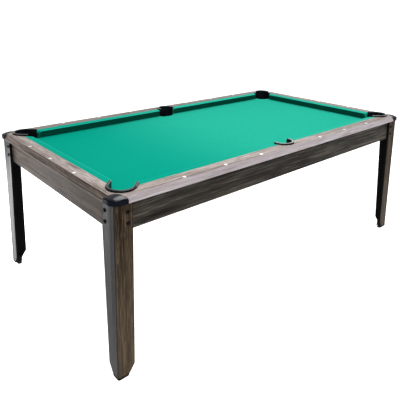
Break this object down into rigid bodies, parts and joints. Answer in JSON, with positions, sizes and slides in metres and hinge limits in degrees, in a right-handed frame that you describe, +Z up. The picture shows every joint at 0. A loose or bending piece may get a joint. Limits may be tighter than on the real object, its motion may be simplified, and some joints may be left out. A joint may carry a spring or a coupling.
{
  "type": "pool table",
  "caption": "Seven-foot home pool table with green cloth bed, wood-grain rails with round sights, black drop pockets and corner caps, and board legs on levelling feet.",
  "frame": {"origin": "on the floor under the middle of the playing field", "axes": "+X along the long side, +Y towards the back long side, +Z up"},
  "size_m": [2.211, 1.231, 0.821],
  "materials": {
    "rail_wood": "grey-brown wood-grain laminate, satin",
    "apron_wood": "dark grey-brown wood-grain laminate, satin",
    "leg_wood": "grey-brown wood-grain laminate outside, black inside, satin",
    "bed_panel": "raw board",
    "beam_wood": "black painted board",
    "bed_cloth": "green woven cloth",
    "cushion_cloth": "green woven cloth over rubber",
    "pocket_plastic": "black moulded plastic",
    "cap_plastic": "black gloss plastic",
    "sight_plastic": "white inlay",
    "shoe_plastic": "black plastic",
    "black_steel": "black coated steel",
    "zinc_steel": "zinc plated",
    "foot_rubber": "black rubber"
  },
  "bodies": {
    "table": {"rail_long_front": "rail_wood", "rail_long_back": "rail_wood", "rail_short_left": "rail_wood", "rail_short_right": "rail_wood", "cushion_front_left": "cushion_cloth", "cushion_front_right": "cushion_cloth", "cushion_back_left": "cushion_cloth", "cushion_back_right": "cushion_cloth", "cushion_short_left": "cushion_cloth", "cushion_short_right": "cushion_cloth", "bed_board_left": "bed_panel", "bed_board_mid": "bed_panel", "bed_board_right": "bed_panel", "bed_cloth": "bed_cloth", "pocket_corner_fl": "pocket_plastic", "pocket_corner_fr": "pocket_plastic", "pocket_corner_bl": "pocket_plastic", "pocket_corner_br": "pocket_plastic", "pocket_side_front": "pocket_plastic", "pocket_side_back": "pocket_plastic", "cap_fl": "cap_plastic", "cap_fr": "cap_plastic", "cap_bl": "cap_plastic", "cap_br": "cap_plastic", "sights": "sight_plastic", "apron_long_front": "apron_wood", "apron_long_back": "apron_wood", "apron_short_left": "apron_wood", "apron_short_right": "apron_wood", "leg_fl_long": "leg_wood", "leg_fl_short": "leg_wood", "leg_fr_long": "leg_wood", "leg_fr_short": "leg_wood", "leg_bl_long": "leg_wood", "leg_bl_short": "leg_wood", "leg_br_long": "leg_wood", "leg_br_short": "leg_wood", "shoe_fl": "shoe_plastic", "shoe_fr": "shoe_plastic", "shoe_bl": "shoe_plastic", "shoe_br": "shoe_plastic", "beam_1": "beam_wood", "beam_2": "beam_wood", "beam_3": "beam_wood", "beam_4": "beam_wood", "leg_bolts": "black_steel", "leg_nuts": "zinc_steel", "rail_bolts": "zinc_steel", "corner_brackets": "zinc_steel", "beam_brackets": "zinc_steel", "bracket_screws": "zinc_steel", "foot_inserts": "zinc_steel"},
    "pad_fl": {"foot_pad_fl": "foot_rubber"},
    "stud_fl": {"foot_stud_fl": "zinc_steel"},
    "pad_fr": {"foot_pad_fr": "foot_rubber"},
    "stud_fr": {"foot_stud_fr": "zinc_steel"},
    "pad_bl": {"foot_pad_bl": "foot_rubber"},
    "stud_bl": {"foot_stud_bl": "zinc_steel"},
    "pad_br": {"foot_pad_br": "foot_rubber"},
    "stud_br": {"foot_stud_br": "zinc_steel"}
  },
  "joints": [
    {"name": "foot_fl_lift", "type": "slide", "parent": "table", "child": "pad_fl", "axis": [0, 0, -1], "range_m": [0, 0.012]},
    {"name": "foot_fl_turn", "type": "hinge", "parent": "pad_fl", "child": "stud_fl", "pos_m": [-1.063, -0.573, 0.0075], "axis": [0, 0, -1], "range_deg": [0, 2880]},
    {"name": "foot_fr_lift", "type": "slide", "parent": "table", "child": "pad_fr", "axis": [0, 0, -1], "range_m": [0, 0.012]},
    {"name": "foot_fr_turn", "type": "hinge", "parent": "pad_fr", "child": "stud_fr", "pos_m": [1.063, -0.573, 0.0075], "axis": [0, 0, -1], "range_deg": [0, 2880]},
    {"name": "foot_bl_lift", "type": "slide", "parent": "table", "child": "pad_bl", "axis": [0, 0, -1], "range_m": [0, 0.012]},
    {"name": "foot_bl_turn", "type": "hinge", "parent": "pad_bl", "child": "stud_bl", "pos_m": [-1.063, 0.573, 0.0075], "axis": [0, 0, -1], "range_deg": [0, 2880]},
    {"name": "foot_br_lift", "type": "slide", "parent": "table", "child": "pad_br", "axis": [0, 0, -1], "range_m": [0, 0.012]},
    {"name": "foot_br_turn", "type": "hinge", "parent": "pad_br", "child": "stud_br", "pos_m": [1.063, 0.573, 0.0075], "axis": [0, 0, -1], "range_deg": [0, 2880]}
  ],
  "couplings": [
    {"joint": "foot_fl_turn", "follows": "foot_fl_lift", "rad_per_m": 4188.8},
    {"joint": "foot_fr_turn", "follows": "foot_fr_lift", "rad_per_m": 4188.8},
    {"joint": "foot_bl_turn", "follows": "foot_bl_lift", "rad_per_m": 4188.8},
    {"joint": "foot_br_turn", "follows": "foot_br_lift", "rad_per_m": 4188.8}
  ]
}
